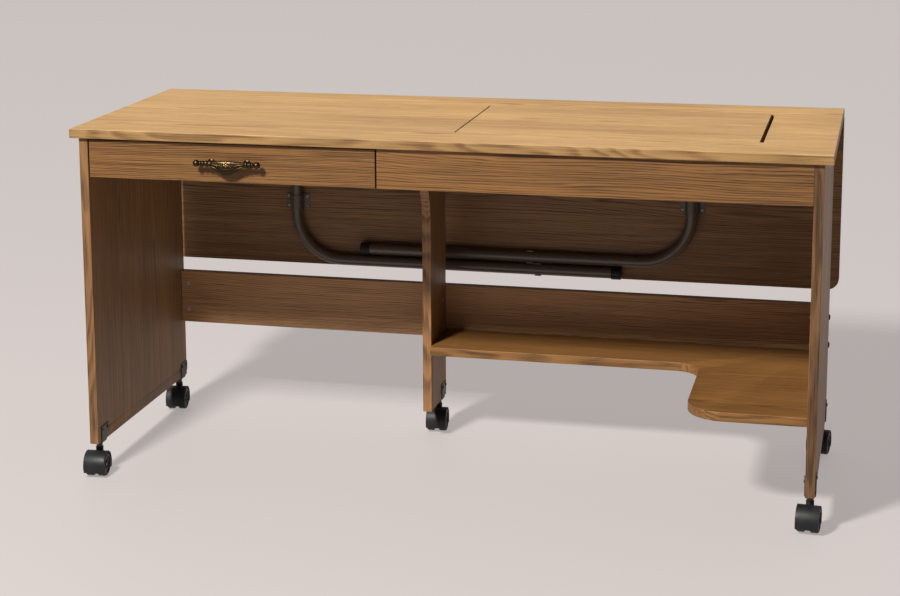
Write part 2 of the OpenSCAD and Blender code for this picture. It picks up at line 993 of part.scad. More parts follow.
module leg_clips() {
  color(steel) difference() {
    for (z = [left_run_z, right_run_z]) clip(clip_spot(z), z);
    at_clip_screws() {
      translate([0, 0, -tube_off / 2]) cylinder(r = screw_head_r + eps, h = tube_off / 2);
      pilot();
    }
  }
}

// A J-shaped leg tube; side is 1 when the long run points towards +X
module leg_tube(leg, side) {
  color(tube_grey) translate([leg[0], leg_y, leg[1]]) handed(side) difference() {
    leg_body(tube_r, 0);
    leg_body(tube_r - tube_wall, 1);
  }
}

module leg_body(r, extra) {
  translate([0, 0, bend_r]) cylinder(r = r, h = leg_stub + extra);
  translate([bend_r, 0, bend_r]) rotate([90, 0, 0]) rotate([0, 0, 180]) rotate_extrude(angle = 90) {
    translate([bend_r, 0]) circle(r = r);
  }
  rod_x([bend_r, 0, 0], r, leg_len - bend_r - foot_set + extra);
}

module left_leg_tube() {
  leg_tube(LEGS[0], 1);
}

module right_leg_tube() {
  leg_tube(LEGS[1], -1);
}

// A moulded cap with a rounded end over the tube's foot
module foot_cap(leg, side) {
  e = cap_edge_r;
  color(black) translate([leg[0], leg_y, leg[1]]) handed(side) translate([leg_len - cap_len, 0, 0]) {
    rotate([0, 90, 0]) rotate_extrude() difference() {
      union() {
        square([cap_r, cap_len - e]);
        square([cap_r - e, cap_len]);
        translate([cap_r - e, cap_len - e]) circle(r = e);
      }
      translate([0, -1]) square([tube_r + eps, cap_len - foot_set + 1 + eps]);
    }
  }
}

module left_foot_cap() {
  foot_cap(LEGS[0], 1);
}

module right_foot_cap() {
  foot_cap(LEGS[1], -1);
}

// ---------- casters ----------

module at_caster(i) {
  c = CASTERS[i];
  translate([c[0], c[1], 0]) children();
}

module at_casters() {
  for (i = [0 : len(CASTERS) - 1]) at_caster(i) children();
}

// The outer face of each panel is towards its nearer side; the centre panel's is on the left
function outer_side(i) = (CASTERS[i][0] > 0) ? 1 : -1;

module at_bracket_screws() {
  for (i = [0 : len(CASTERS) - 1]) at_caster(i) handed(outer_side(i)) {
    for (y = bracket_screw_ys) {
      translate([-board / 2 - bracket_t, y, panel_z + bracket_screw_in_z]) rotate([0, 90, 0]) children();
    }
    translate([board / 2 + bracket_t, 0, panel_z + bracket_screw_out_z]) rotate([0, -90, 0]) children();
  }
}

module caster_bracket_screws() {
  color(dark_steel) at_bracket_screws() screw(short_screw);
}

// The inner plate is straight in front of the stem and runs back above a slanted shoulder
module inner_plate_outline() {
  front = -bracket_neck / 2;
  polygon([[front, -bracket_t], [-front, -bracket_t], [bracket_back, bracket_shoulder],
    [bracket_back, bracket_in_h], [front, bracket_in_h]]);
}

module caster_bracket() {
  far = board / 2 + bracket_t;
  difference() {
    translate([0, 0, panel_z]) {
      translate([-far, 0, 0]) rotate([90, 0, 90]) linear_extrude(bracket_t) inner_plate_outline();
      block([-far, -bracket_neck / 2, -bracket_t], [far, bracket_neck / 2, 0]);
      block([board / 2, -bracket_neck / 2, -bracket_t], [far, bracket_neck / 2, bracket_out_h]);
    }
    cylinder(r = stem_r + eps, h = 2 * panel_z);
  }
}

module caster_brackets() {
  color(dark_steel) difference() {
    for (i = [0 : len(CASTERS) - 1]) at_caster(i) handed(outer_side(i)) caster_bracket();
    at_bracket_screws() pilot(short_screw);
  }
}

// The stem: a shank up into the panel, a collar under the bracket, and a pin down into the hood
module caster_stems() {
  color(dark_steel) at_casters() {
    translate([0, 0, stem_low]) cylinder(r = stem_r, h = panel_z + stem_in_panel - stem_low);
    translate([0, 0, hood_top + collar_gap]) {
      cylinder(r = collar_r, h = panel_z - bracket_t - hood_top - collar_gap);
    }
  }
}

// The hood, drawn with its wheels ahead of the stem, seen along X: a shell around all but the
// wheels' lowest part, and a web between them
module pie(r, a0, a1) {
  intersection() {
    circle(r = r);
    polygon([[0, 0], for (a = [a0 : hood_step_a : a1]) [2 * r * cos(a), 2 * r * sin(a)]]);
  }
}

module web_outline() {
  pie(hood_r, hood_low_a, hood_high_a);
  circle(r = web_r);
  translate([0, -web_block / 2]) square([caster_trail + socket_out_r, web_block]);
}

module caster_hood(i) {
  axle = [0, -caster_trail, wheel_r];
  color(black) at_caster(i) rotate([0, 0, CASTERS[i][2]]) difference() {
    union() {
      translate(axle) rotate([90, 0, 90]) {
        translate([0, 0, -caster_w / 2]) linear_extrude(caster_w) pie(hood_r, hood_low_a, hood_high_a);
        translate([0, 0, -web_half]) linear_extrude(2 * web_half) web_outline();
      }
      translate([0, 0, hood_top - socket_len]) cylinder(r = socket_out_r, h = socket_len);
    }
    for (s = [0, 1]) mirror([s, 0, 0]) {
      rod_x(axle + [web_half, 0, 0], hood_in, caster_w);
    }
    rod_x(axle - [caster_w, 0, 0], axle_bore, 2 * caster_w);
    translate([0, 0, stem_low - 1]) cylinder(r = stem_bore, h = hood_top);
  }
}

module caster_axle(i) {
  color(steel) at_caster(i) rotate([0, 0, CASTERS[i][2]]) {
    rod_x([axle_inset - caster_w / 2, -caster_trail, wheel_r], axle_r, caster_w - 2 * axle_inset);
  }
}

// Half of a wheel's section: a tread with a well-rounded outer edge and a dished face around the hub
module wheel_outline() {
  t = caster_w / 2 - wheel_in;
  difference() {
    union() {
      square([wheel_r - wheel_edge, t]);
      square([wheel_r, t - wheel_edge]);
      translate([wheel_r - wheel_edge, t - wheel_edge]) circle(r = wheel_edge);
    }
    translate([-1, -1]) square([axle_bore + 1, t + 2]);
    translate([dish_w, t - dish_h]) square([dish_r, dish_h + 1]);
    translate([-1, t - hub_sink]) square([hub_r + 1, hub_sink + 1]);
  }
}

module caster_wheels(i) {
  color(dark_steel) at_caster(i) rotate([0, 0, CASTERS[i][2]]) {
    translate([0, -caster_trail, wheel_r]) for (s = [0, 1]) mirror([s, 0, 0]) {
      translate([wheel_in, 0, 0]) rotate([0, 90, 0]) rotate_extrude() wheel_outline();
    }
  }
}

module caster_hood_lf() { caster_hood(0); }
module caster_hood_lb() { caster_hood(1); }
module caster_hood_rf() { caster_hood(2); }
module caster_hood_rb() { caster_hood(3); }
module caster_hood_c() { caster_hood(4); }
module caster_axle_lf() { caster_axle(0); }
module caster_axle_lb() { caster_axle(1); }
module caster_axle_rf() { caster_axle(2); }
module caster_axle_rb() { caster_axle(3); }
module caster_axle_c() { caster_axle(4); }
module caster_wheels_lf() { caster_wheels(0); }
module caster_wheels_lb() { caster_wheels(1); }
module caster_wheels_rf() { caster_wheels(2); }
module caster_wheels_rb() { caster_wheels(3); }
module caster_wheels_c() { caster_wheels(4); }

tabletop();
left_panel();
center_panel();
right_panel();
rear_rail();
knee_shelf();
false_front();
insert_ledges_long();
insert_ledges_short();
machine_platform();
platform_hangers();
corner_brackets();
frame_screws();
connector_bolts();
barrel_nuts();
shelf_screws();
cabinet_runner_left();
cabinet_runner_right();
hinge_leaves_top();
caster_brackets();
caster_bracket_screws();
caster_stems();
machine_insert();
rear_leaf();
hinge_leaves_rear();
hinge_pins();
leg_saddles();
leg_clips();
leaf_screws();
left_leg_tube();
left_foot_cap();
right_leg_tube();
right_foot_cap();
drawer_front();
drawer_left_side();
drawer_right_side();
drawer_back();
drawer_bottom();
drawer_pull();
drawer_screws();
drawer_runner_left();
drawer_runner_right();
cabinet_rollers();
drawer_rollers();
caster_hood_lf();
caster_hood_lb();
caster_hood_rf();
caster_hood_rb();
caster_hood_c();
caster_axle_lf();
caster_axle_lb();
caster_axle_rf();
caster_axle_rb();
caster_axle_c();
caster_wheels_lf();
caster_wheels_lb();
caster_wheels_rf();
caster_wheels_rb();
caster_wheels_c();
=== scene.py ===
"""Looks for the sewing table: oak laminate boards, an antique brass pull, steel hardware, painted
leg tubes and black twin-wheel casters, on a plain pale floor."""

import json
import math

import bmesh
import bpy
from mathutils import Matrix, Vector

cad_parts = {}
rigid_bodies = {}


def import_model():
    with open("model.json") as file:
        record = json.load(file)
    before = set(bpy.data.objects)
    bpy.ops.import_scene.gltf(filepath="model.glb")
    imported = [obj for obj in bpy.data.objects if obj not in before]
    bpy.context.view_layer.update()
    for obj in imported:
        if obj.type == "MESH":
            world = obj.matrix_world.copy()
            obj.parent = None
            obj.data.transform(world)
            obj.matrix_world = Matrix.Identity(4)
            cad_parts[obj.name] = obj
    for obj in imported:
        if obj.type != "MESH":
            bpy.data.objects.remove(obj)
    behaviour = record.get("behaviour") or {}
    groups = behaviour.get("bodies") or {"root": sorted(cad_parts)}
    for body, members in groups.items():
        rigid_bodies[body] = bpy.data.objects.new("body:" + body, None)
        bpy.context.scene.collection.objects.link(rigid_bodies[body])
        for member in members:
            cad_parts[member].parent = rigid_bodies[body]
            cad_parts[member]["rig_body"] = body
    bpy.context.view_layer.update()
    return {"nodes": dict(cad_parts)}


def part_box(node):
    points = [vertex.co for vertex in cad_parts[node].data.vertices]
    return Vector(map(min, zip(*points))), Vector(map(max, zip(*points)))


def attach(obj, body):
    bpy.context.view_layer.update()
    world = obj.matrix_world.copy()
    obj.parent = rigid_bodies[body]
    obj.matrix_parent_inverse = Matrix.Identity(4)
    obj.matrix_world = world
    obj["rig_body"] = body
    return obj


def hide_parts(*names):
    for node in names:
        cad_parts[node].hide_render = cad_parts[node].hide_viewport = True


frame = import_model()
nodes = frame["nodes"]
scene = bpy.context.scene

# ---------- camera and light ----------

SENSOR_MM = 36
LENS_MM = 79.373072
# The lens is shifted as on a view camera, by these shares of the picture's width
SHIFT_X = 1 / 18
SHIFT_Y = -32 / 225
CAM_AT = (0.8803064, -4.0310939, 1.4116434)
# Radians: yaw from +Y towards +X, pitch up, roll about the view direction
CAM_YAW = -0.2487
CAM_PITCH = -0.1852
CAM_ROLL = -0.008

# A pale glow all round, brightest behind the table and weakest in front of it
WORLD_COLOUR = (0.80, 0.755, 0.72, 1)
GLOW_RANGE = (("From Min", -0.7), ("From Max", 0.8), ("To Min", 0.14), ("To Max", 0.68))
KEY_AT = (-1.05, -2.65, 2.8)
KEY_RADIUS = 0.26
KEY_POWER = 78
KEY_COLOUR = (1.0, 0.985, 0.955)


def make_camera():
    data = bpy.data.cameras.new("camera")
    cam = bpy.data.objects.new("camera", data)
    scene.collection.objects.link(cam)
    forward = Vector((
        math.sin(CAM_YAW) * math.cos(CAM_PITCH),
        math.cos(CAM_YAW) * math.cos(CAM_PITCH),
        math.sin(CAM_PITCH),
    ))
    right = Vector((math.cos(CAM_YAW), -math.sin(CAM_YAW), 0))
    up = right.cross(forward)
    rolled_right = right * math.cos(CAM_ROLL) + up * math.sin(CAM_ROLL)
    rolled_up = up * math.cos(CAM_ROLL) - right * math.sin(CAM_ROLL)
    turn = Matrix((rolled_right, rolled_up, -forward)).transposed()
    cam.matrix_world = Matrix.Translation(CAM_AT) @ turn.to_4x4()
    data.sensor_width = SENSOR_MM
    data.lens = LENS_MM
    data.shift_x = SHIFT_X
    data.shift_y = SHIFT_Y
    data.clip_start = 0.1
    data.clip_end = 100
    scene.camera = cam


def add_lamp(name, at, radius, power, colour):
    """A round lamp whose light doesn't weaken with distance, as from a far studio lamp."""
    data = bpy.data.lights.new(name, "POINT")
    data.energy = power
    data.shadow_soft_size = radius
    data.color = colour
    data.use_nodes = True
    tree = data.node_tree
    falloff = tree.nodes.new("ShaderNodeLightFalloff")
    falloff.inputs["Strength"].default_value = 1.0
    tree.links.new(falloff.outputs["Constant"], tree.nodes["Emission"].inputs["Strength"])
    lamp = bpy.data.objects.new(name, data)
    lamp.location = at
    scene.collection.objects.link(lamp)


def make_light():
    scene.view_settings.view_transform = "Standard"
    world = bpy.data.worlds.new("studio")
    world.use_nodes = True
    tree = world.node_tree
    background = tree.nodes["Background"]
    background.inputs["Color"].default_value = WORLD_COLOUR
    towards = tree.nodes.new("ShaderNodeTexCoord").outputs["Generated"]
    parts = tree.nodes.new("ShaderNodeSeparateXYZ")
    tree.links.new(towards, parts.inputs["Vector"])
    glow = tree.nodes.new("ShaderNodeMapRange")
    glow.interpolation_type = "SMOOTHSTEP"
    for key, value in GLOW_RANGE:
        glow.inputs[key].default_value = value
    tree.links.new(parts.outputs["Y"], glow.inputs["Value"])
    tree.links.new(glow.outputs["Result"], background.inputs["Strength"])
    scene.world = world
    add_lamp("key", KEY_AT, KEY_RADIUS, KEY_POWER, KEY_COLOUR)


# ---------- node helpers ----------


class Nodes:
    """A material's node tree with short ways to add and join nodes."""

    def __init__(self, name):
        self.material = bpy.data.materials.new(name)
        self.material.use_nodes = True
        self.tree = self.material.node_tree
        self.shader = self.tree.nodes["Principled BSDF"]

    def add(self, kind, inputs=None, **settings):
        node = self.tree.nodes.new(kind)
        for key, value in settings.items():
            setattr(node, key, value)
        for key, value in (inputs or {}).items():
            self.put(node, key, value)
        return node

    def put(self, node, key, value):
        if isinstance(value, bpy.types.NodeSocket):
            self.tree.links.new(value, node.inputs[key])
        else:
            node.inputs[key].default_value = value

    def noise(self, vector, scale, detail, roughness):
        return self.add("ShaderNodeTexNoise", {
            "Vector": vector, "Scale": scale, "Detail": detail, "Roughness": roughness,
        }).outputs["Fac"]

    def maths(self, operation, a, b=0.0):
        return self.add("ShaderNodeMath", {0: a, 1: b}, operation=operation).outputs[0]

    def ramp(self, fac, stops):
        """A ramp from (place, grey or colour) stops."""
        node = self.add("ShaderNodeValToRGB", {"Fac": fac})
        elements = node.color_ramp.elements
        while len(elements) < len(stops):
            elements.new(0.5)
        for element, (place, value) in zip(elements, stops):
            element.position = place
            grey = not hasattr(value, "__len__")
            element.color = (value, value, value, 1) if grey else (*value, 1)
        return node.outputs["Color"]

    def mix(self, fac, a, b, blend="MIX"):
        node = self.add("ShaderNodeMix", data_type="RGBA", blend_type=blend)
        for key, value in ((0, fac), (6, a), (7, b)):
            if isinstance(value, tuple):
                value = (*value, 1)
            self.put(node, key, value)
        return node.outputs[2]

    def position(self):
        return self.add("ShaderNodeTexCoord").outputs["Object"]

    def bump(self, height, strength, distance):
        node = self.add("ShaderNodeBump", {
            "Height": height, "Strength": strength, "Distance": distance,
        })
        self.put(self.shader, "Normal", node.outputs["Normal"])

    def finish(self, **values):
        for key, value in values.items():
            self.put(self.shader, key.replace("_", " "), value)
        return self.material


# ---------- materials ----------

# Width of a flitch, spacing of its growth rings, and how far the heart is rounded off, in metres
FLITCH_W = 0.105
RING = 0.0036
HEART = 0.0005
OAK_ROUGHNESS = 0.50


def oak(name, axes, light, dark, shift, contrast, edge):
    """Oak laminate: cathedral figure in flitches, streaky late wood and open pores along the grain.
    axes names the board's grain, width and thickness directions, as in "xyz". shift moves the
    pattern. edge scales the colour of the edge faces: partly the edge band's own tone, partly painted
    shade and light for how light falls on each board's edges."""
    n = Nodes(name)
    parts = n.add("ShaderNodeSeparateXYZ", {"Vector": n.position()})
    by_name = {"x": parts.outputs["X"], "y": parts.outputs["Y"], "z": parts.outputs["Z"]}
    grain = n.maths("ADD", by_name[axes[0]], shift[0])
    width = n.maths("ADD", by_name[axes[1]], shift[1])
    depth = n.maths("ADD", by_name[axes[2]], shift[2])
    base = n.add("ShaderNodeCombineXYZ", {"X": grain, "Y": width, "Z": depth}).outputs["Vector"]

    def stretched(along, across, detail, roughness):
        space = n.add("ShaderNodeMapping", {"Vector": base, "Scale": (along, across, across)})
        return n.noise(space.outputs["Vector"], 1.0, detail, roughness)

    def times(a, b):
        return n.maths("MULTIPLY", a, b)

    def plus(a, b):
        return n.maths("ADD", a, b)

    def centred(value):
        return n.maths("SUBTRACT", value, 0.5)

    sway = stretched(0.6, 3.0, 2.0, 0.5)
    wander = stretched(1.5, 12.0, 3.0, 0.55)
    flitch = n.maths("PINGPONG", plus(width, times(centred(sway), 0.15)), FLITCH_W)
    radius = n.maths("SQRT", plus(times(flitch, flitch), HEART))
    radius = plus(radius, times(centred(wander), 0.030))
    phase = n.maths("FRACT", times(radius, 1.0 / RING))
    late = n.ramp(phase, [(0.0, 0.9), (0.14, 1.0), (0.42, 0.30), (0.80, 0.0), (1.0, 0.9)])
    streaks = stretched(5.0, 300.0, 3.0, 0.62)
    threads = stretched(12.0, 640.0, 2.0, 0.6)
    pores = n.ramp(stretched(26.0, 900.0, 1.0, 0.5), [(0.0, 0.0), (0.58, 0.0), (0.70, 1.0), (1.0, 1.0)])
    broad = stretched(0.8, 9.0, 2.0, 0.5)
    tone = plus(0.10, times(centred(streaks), 1.10 * contrast))
    tone = plus(tone, times(centred(threads), 0.45 * contrast))
    tone = plus(tone, times(centred(broad), 0.75 * contrast))
    tone = plus(tone, times(times(late, plus(streaks, 0.15)), 0.66 * contrast))
    tone = plus(tone, times(times(pores, plus(late, 0.25)), 0.25 * contrast))
    tone = n.add("ShaderNodeClamp", {"Value": tone}).outputs[0]
    colour = n.mix(tone, light, dark)
    # Edge faces are partly the edge band's own tone and partly painted shade and light, set per board.
    if edge != 1.0:
        faces = n.add("ShaderNodeSeparateXYZ", {
            "Vector": n.add("ShaderNodeTexCoord").outputs["Normal"],
        }).outputs[axes[2].upper()]
        on_edge = n.ramp(n.maths("ABSOLUTE", faces), [(0.35, 1.0), (0.85, 0.0)])
        colour = n.mix(on_edge, colour, n.mix(1.0, colour, (edge, edge * 0.96, edge * 0.92), "MULTIPLY"))
    rough = n.add("ShaderNodeMapRange", {
        "Value": threads, "From Min": 0.25, "From Max": 0.75,
        "To Min": OAK_ROUGHNESS - 0.05, "To Max": OAK_ROUGHNESS + 0.08,
    }).outputs[0]
    height = n.maths("SUBTRACT", threads, times(times(pores, plus(late, 0.2)), 0.9))
    n.bump(height, 0.14, 0.0004)
    return n.finish(Base_Color=colour, Roughness=rough, Specular_IOR_Level=0.30)


def metal(name, colour, worn, roughness, scratch=0.10, metallic=1.0):
    """Plated or painted steel with faint scuffs and a mottled sheen."""
    n = Nodes(name)
    at = n.position()
    mottle = n.noise(at, 60, 4.0, 0.6)
    fine = n.noise(at, 700, 2.0, 0.5)
    patches = n.ramp(mottle, [(0.42, 0.0), (0.70, 1.0)])
    tint = n.mix(n.maths("MULTIPLY", patches, 0.6), colour, worn)
    rough = n.add("ShaderNodeMapRange", {
        "Value": mottle, "From Min": 0.3, "From Max": 0.7,
        "To Min": roughness - scratch, "To Max": roughness + scratch,
    }).outputs[0]
    n.bump(n.maths("ADD", fine, n.maths("MULTIPLY", mottle, 0.6)), 0.10, 0.0003)
    return n.finish(Base_Color=tint, Roughness=rough, Metallic=metallic)


def aged_brass(name, centre):
    """Antique brass: dark brown, rubbed gold on the high places, mostly around centre."""
    n = Nodes(name)
    at = n.position()
    mottle = n.noise(at, 220, 4.0, 0.62)
    pointed = n.add("ShaderNodeNewGeometry").outputs["Pointiness"]
    high = n.ramp(pointed, [(0.50, 0.0), (0.60, 1.0)])
    away = n.add("ShaderNodeVectorMath", {0: at, 1: centre}, operation="DISTANCE").outputs["Value"]
    gilt = n.ramp(away, [(0.006, 1.0), (0.020, 0.10)])
    rub = n.maths("MULTIPLY", n.maths("MULTIPLY", high, gilt), n.ramp(mottle, [(0.30, 0.35), (0.65, 1.0)]))
    colour = n.mix(rub, (0.034, 0.022, 0.013), (0.62, 0.42, 0.16))
    rough = n.add("ShaderNodeMapRange", {
        "Value": rub, "From Min": 0.0, "From Max": 1.0, "To Min": 0.36, "To Max": 0.24,
    }).outputs[0]
    n.bump(mottle, 0.25, 0.0003)
    return n.finish(Base_Color=colour, Roughness=rough, Metallic=1.0)


def plastic(name, colour, dusty, roughness, grain=900.0):
    """Moulded plastic with a fine leather grain and a little dust."""
    n = Nodes(name)
    at = n.position()
    cells = n.add("ShaderNodeTexVoronoi", {"Vector": at, "Scale": grain}, feature="F1").outputs["Distance"]
    dust = n.noise(at, 38, 5.0, 0.65)
    tint = n.mix(n.ramp(dust, [(0.45, 0.0), (0.80, 0.5)]), colour, dusty)
    rough = n.add("ShaderNodeMapRange", {
        "Value": dust, "From Min": 0.3, "From Max": 0.7,
        "To Min": roughness - 0.06, "To Max": roughness + 0.10,
    }).outputs[0]
    n.bump(cells, 0.12, 0.0002)
    return n.finish(Base_Color=tint, Roughness=rough, Specular_IOR_Level=0.25)


# A faint glow of the floor itself keeps the table's shadows light
FLOOR_GLOW = 0.35
FLOOR_GLOW_COLOUR = (1.0, 0.92, 0.90, 1)


def floor_material():
    n = Nodes("studio_floor")
    at = n.position()
    soft = n.noise(at, 0.35, 2.0, 0.5)
    near = n.mix(soft, (0.176, 0.161, 0.156), (0.190, 0.174, 0.169))
    reach = n.add("ShaderNodeVectorMath", {0: at}, operation="LENGTH").outputs["Value"]
    # Painted light: the floor's colour grows lighter from 2 to 9 m out, where less lamp light reaches it.
    lighter_far_off = n.add("ShaderNodeMapRange", {
        "Value": reach, "From Min": 2.0, "From Max": 9.0, "To Min": 0.0, "To Max": 1.0,
    }).outputs[0]
    colour = n.mix(lighter_far_off, near, (0.24, 0.225, 0.217))
    n.bump(n.noise(at, 300, 2.0, 0.5), 0.03, 0.0005)
    return n.finish(Base_Color=colour, Roughness=0.62, Emission_Color=FLOOR_GLOW_COLOUR,
                    Emission_Strength=FLOOR_GLOW)


# ---------- mesh helpers ----------


MERGE_WITHIN = 2e-6
FLAT_WITHIN = math.radians(0.3)
SHARP_FROM = math.radians(30)
# A face counts as level when its normal is this close to an axis, and shades flat from this area up
LEVEL = 0.9999
FLAT_AREA = 1e-4


def crisp(name, width, least, segments, smooth):
    """A copy of a CAD node's mesh with its long edges eased by width.
    least is the smallest extent of an edge chain that is eased, so that bores stay sharp.
    Some flat faces keep a shading normal that is tilted by the eased edge beside them."""
    source = nodes[name]
    bm = bmesh.new()
    bm.from_mesh(source.data)
    bmesh.ops.remove_doubles(bm, verts=bm.verts, dist=MERGE_WITHIN)
    bmesh.ops.dissolve_limit(bm, angle_limit=FLAT_WITHIN, verts=bm.verts, edges=bm.edges)
    sharp = [e for e in bm.edges if len(e.link_faces) == 2 and e.calc_face_angle(0) > SHARP_FROM]
    root = {}

    def find(v):
        while root.setdefault(v, v) != v:
            v = root[v]
        return v

    for e in sharp:
        root[find(e.verts[0])] = find(e.verts[1])
    chains = {}
    for e in sharp:
        chains.setdefault(find(e.verts[0]), []).append(e)
    chosen = []
    for edges in chains.values():
        points = [v.co for e in edges for v in e.verts]
        size = max(max(p[i] for p in points) - min(p[i] for p in points) for i in range(3))
        if size >= least:
            chosen += edges
    if chosen:
        bmesh.ops.bevel(bm, geom=chosen, offset=width, offset_type="OFFSET", segments=segments,
                        profile=0.5, affect="EDGES", clamp_overlap=True)
    mesh = bpy.data.meshes.new(name + "_look")
    bm.to_mesh(mesh)
    bm.free()
    for polygon in mesh.polygons:
        level = max(abs(part) for part in polygon.normal) > LEVEL
        polygon.use_smooth = not (level and polygon.area > FLAT_AREA)
    mesh.set_sharp_from_angle(angle=math.radians(smooth))
    return mesh


def make_piece(name, mesh, body, material, stands_for):
    """Adds a mesh that rides on body and stands for one CAD node."""
    obj = bpy.data.objects.new(name, mesh)
    scene.collection.objects.link(obj)
    mesh.materials.clear()
    mesh.materials.append(material)
    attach(obj, body)
    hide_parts(stands_for)


def dress(name, material, eased=None, least=0.03, segments=2, smooth=20):
    """Gives a CAD node its finish, on an eased copy where eased is a width."""
    node = nodes[name]
    if eased:
        mesh = crisp(name, eased, least, segments, smooth)
        make_piece(name + "_eased", mesh, node["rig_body"], material, name)
    else:
        node.data.materials.clear()
        node.data.materials.append(material)


def lathe(bm, profile, start, axis, steps=40):
    """Turns (distance along axis, radius) pairs into a closed surface about axis from start."""
    axis = Vector(axis).normalized()
    side = axis.orthogonal().normalized()
    other = axis.cross(side)
    rings = []
    for along, radius in profile:
        centre = Vector(start) + axis * along
        if radius == 0:
            rings.append([bm.verts.new(centre)])
            continue
        ring = []
        for k in range(steps):
            a = 2 * math.pi * k / steps
            ring.append(bm.verts.new(centre + (side * math.cos(a) + other * math.sin(a)) * radius))
        rings.append(ring)
    for a, b in zip(rings, rings[1:]):
        for k in range(steps):
            m = (k + 1) % steps
            if len(a) == 1:
                bm.faces.new((a[0], b[m], b[k]))
            elif len(b) == 1:
                bm.faces.new((a[k], a[m], b[0]))
            else:
                bm.faces.new((a[k], a[m], b[m], b[k]))


def sweep(bm, path, radii, flatten=1.0, steps=16):
    """A tube along path points in a plane of constant Y, with a radius at each.
    flatten squeezes it along Y."""
    rings = []
    for i, p in enumerate(path):
        a = path[max(i - 1, 0)]
        b = path[min(i + 1, len(path) - 1)]
        t = (Vector(b) - Vector(a)).normalized()
        u = Vector((0, 1, 0))
        v = t.cross(u).normalized()
        ring = []
        for k in range(steps):
            w = 2 * math.pi * k / steps
            offset = u * (math.cos(w) * radii[i] * flatten) + v * (math.sin(w) * radii[i])
            ring.append(bm.verts.new(Vector(p) + offset))
        rings.append(ring)
    for a, b in zip(rings, rings[1:]):
        for k in range(steps):
            m = (k + 1) % steps
            bm.faces.new((a[k], a[m], b[m], b[k]))
    bm.faces.new(rings[0])
    bm.faces.new(list(reversed(rings[-1])))


# ---------- pieces ----------


# One turned end of the pull, as (distance from the middle, radius) in millimetres
PULL_END = [
    (34.0, 4.6), (37.0, 5.0), (39.2, 5.4), (40.6, 6.4), (42.2, 6.9), (43.8, 6.4), (45.0, 4.8),
    (45.7, 3.7), (46.9, 3.7), (47.6, 4.9), (49.0, 5.7), (50.6, 5.7), (52.0, 4.9), (52.7, 4.0),
    (53.5, 4.9), (55.0, 5.6), (56.5, 4.9), (57.3, 3.7), (58.3, 3.6), (59.1, 4.8), (60.6, 6.2),
    (62.9, 6.95), (65.5, 6.95), (68.0, 6.1), (70.0, 4.4), (71.1, 2.2), (71.5, 0.0),
]
# One post from the drawer front to the bar, as (distance from the front, radius) in metres
PULL_FOOT = [
    (0, 0), (0, 0.0075), (0.0012, 0.0078), (0.0022, 0.0066), (0.0032, 0.0045),
    (0.0075, 0.0038), (0.0125, 0.0042), (0.0165, 0.0048), (0.0172, 0),
]
PULL_BODY_HALF = 0.0405
PULL_POST = 0.038
PULL_BAR_R = 0.007
BODY_RISE = 0.0067
BODY_DROP = 0.0046
FLUTES = 9
FLUTE_DEPTH = 0.06


def pull_body(bm, middle, axis_y, axis_z, bottom, across=72, around=56):
    """The fluted, full-bellied middle of the pull, thinner towards its lower edge."""
    rings = []
    for i in range(across + 1):
        u = -1 + 2 * i / across
        swell = max(0.0, 1 - u * u)
        top = axis_z + BODY_RISE - 0.0022 * u * u
        low = axis_z - BODY_DROP - (axis_z - BODY_DROP - bottom) * swell ** 1.9
        depth = 0.0036 + 0.0020 * swell ** 0.6
        ring = []
        for k in range(around):
            a = 2 * math.pi * k / around
            z = (top + low) / 2 + (top - low) / 2 * math.sin(a)
            share = (z - low) / (top - low)
            flute = 1 + FLUTE_DEPTH * swell * math.cos(FLUTES * math.pi * share)
            y = axis_y - math.cos(a) * depth * (0.62 + 0.38 * share) * (flute if math.cos(a) > 0 else 1)
            ring.append(bm.verts.new((middle + PULL_BODY_HALF * u, y, z)))
        rings.append(ring)
    for a, b in zip(rings, rings[1:]):
        for k in range(around):
            m = (k + 1) % around
            bm.faces.new((a[k], a[m], b[m], b[k]))
    bm.faces.new(rings[0])
    bm.faces.new(list(reversed(rings[-1])))


def pull_flower(bm, at):
    """A centre bead in a ring of six petals, facing the front."""
    lathe(bm, [(0, 0.0018), (0.0012, 0.0021), (0.0022, 0.0015), (0.0026, 0)], at, (0, -1, 0), 20)
    for k in range(6):
        a = math.radians(60 * k + 30)
        out = Vector((math.cos(a), 0, math.sin(a)))
        petal = [at + out * (0.0016 + 0.0046 * i / 10) for i in range(11)]
        sizes = [0.0006 + 0.0013 * math.sin(math.pi * i / 10) ** 0.7 for i in range(11)]
        sweep(bm, petal, sizes, 0.9, 10)


def pull_scroll(bm, middle, side, axis_y, axis_z):
    """A volute beside the flower and a leaf vein that runs out to the turned end."""
    line, sizes = [], []
    for i in range(34):
        t = i / 33
        a = math.radians(250 - 470 * t)
        r = 0.0052 * (1 - 0.80 * t)
        x = middle + side * (0.0125 + r * math.cos(a))
        line.append(Vector((x, axis_y - 0.0050, axis_z + r * math.sin(a))))
        sizes.append(0.0012 * (1 - 0.35 * t))
    sweep(bm, line, sizes, 1.1, 10)
    for lift, drop in ((0.0034, 0.0040), (0.0, -0.0030), (-0.0052, -0.0110)):
        line, sizes = [], []
        for i in range(18):
            t = i / 17
            x = middle + side * (0.017 + 0.0215 * t)
            z = axis_z + lift * t + drop * (1 - t) ** 1.6
            line.append(Vector((x, axis_y - 0.0048 + 0.0020 * t, z)))
            sizes.append(0.0004 + 0.0010 * math.sin(math.pi * (0.15 + 0.85 * t)))
        sweep(bm, line, sizes, 1.0, 8)


